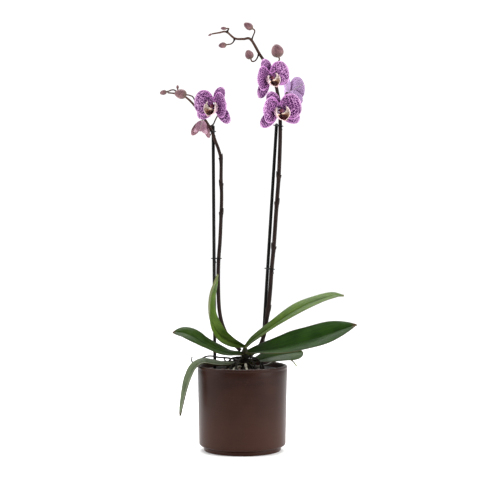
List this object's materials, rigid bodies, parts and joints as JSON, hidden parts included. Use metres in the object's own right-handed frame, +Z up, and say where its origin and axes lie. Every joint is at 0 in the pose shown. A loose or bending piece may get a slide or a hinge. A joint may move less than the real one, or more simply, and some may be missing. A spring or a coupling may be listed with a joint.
{
  "type": "potted orchid",
  "caption": "Moth orchid in a dark glazed cylinder pot: folded strap leaves, arching flower spikes tied to stakes, spotted purple flowers and closed buds.",
  "frame": {"origin": "centre of the pot's underside, on the surface that it stands on", "axes": "+Z up along the pot's axis, +X to the right and +Y away from the viewer when the plant is seen from its front"},
  "size_m": [0.3038, 0.14, 0.6664],
  "materials": {
    "pot_glaze": "satin dark brown glaze on stoneware",
    "nursery_plastic": "thin dark plastic",
    "bark": "rough chips, damp",
    "crown": "smooth green-brown plant stem",
    "leaf": "waxy living leaf",
    "root": "silvery root skin",
    "spike": "smooth dark plant stem",
    "stake": "painted stick",
    "tie": "coated wire",
    "bud": "soft, dusty mauve",
    "tepal": "soft lilac with rows of purple spots",
    "lip": "dark maroon and cream",
    "column": "smooth, pinkish white"
  },
  "bodies": {
    "root": {"bark": "bark", "bud_left_end": "bud", "bud_left_large": "bud", "bud_left_small": "bud", "bud_right_large": "bud", "bud_right_lower": "bud", "bud_right_middle": "bud", "bud_right_tip": "bud", "bud_right_top": "bud", "bud_right_upper": "bud", "crown": "crown", "flower_left_drooping_column": "column", "flower_left_drooping_lip": "lip", "flower_left_drooping_petal_left": "tepal", "flower_left_drooping_petal_right": "tepal", "flower_left_drooping_sepals": "tepal", "flower_left_front_column": "column", "flower_left_front_lip": "lip", "flower_left_front_petal_left": "tepal", "flower_left_front_petal_right": "tepal", "flower_left_front_sepals": "tepal", "flower_right_back_column": "column", "flower_right_back_lip": "lip", "flower_right_back_petal_left": "tepal", "flower_right_back_petal_right": "tepal", "flower_right_back_sepals": "tepal", "flower_right_lower_column": "column", "flower_right_lower_lip": "lip", "flower_right_lower_petal_left": "tepal", "flower_right_lower_petal_right": "tepal", "flower_right_lower_sepals": "tepal", "flower_right_upper_column": "column", "flower_right_upper_lip": "lip", "flower_right_upper_petal_left": "tepal", "flower_right_upper_petal_right": "tepal", "flower_right_upper_sepals": "tepal", "leaf_left_lower": "leaf", "leaf_left_middle": "leaf", "leaf_left_upper": "leaf", "leaf_right_lower": "leaf", "leaf_right_middle": "leaf", "leaf_right_upper": "leaf", "nursery_pot": "nursery_plastic", "pot": "pot_glaze", "root_front": "root", "root_front_left": "root", "root_left_curl": "root", "root_left_flat": "root", "root_left_hook": "root", "root_right": "root", "spike_left": "spike", "spike_right": "spike", "stake_left": "stake", "stake_right": "stake", "tie_left_lower": "tie", "tie_left_upper": "tie", "tie_right_lower": "tie", "tie_right_upper": "tie"}
  },
  "joints": []
}
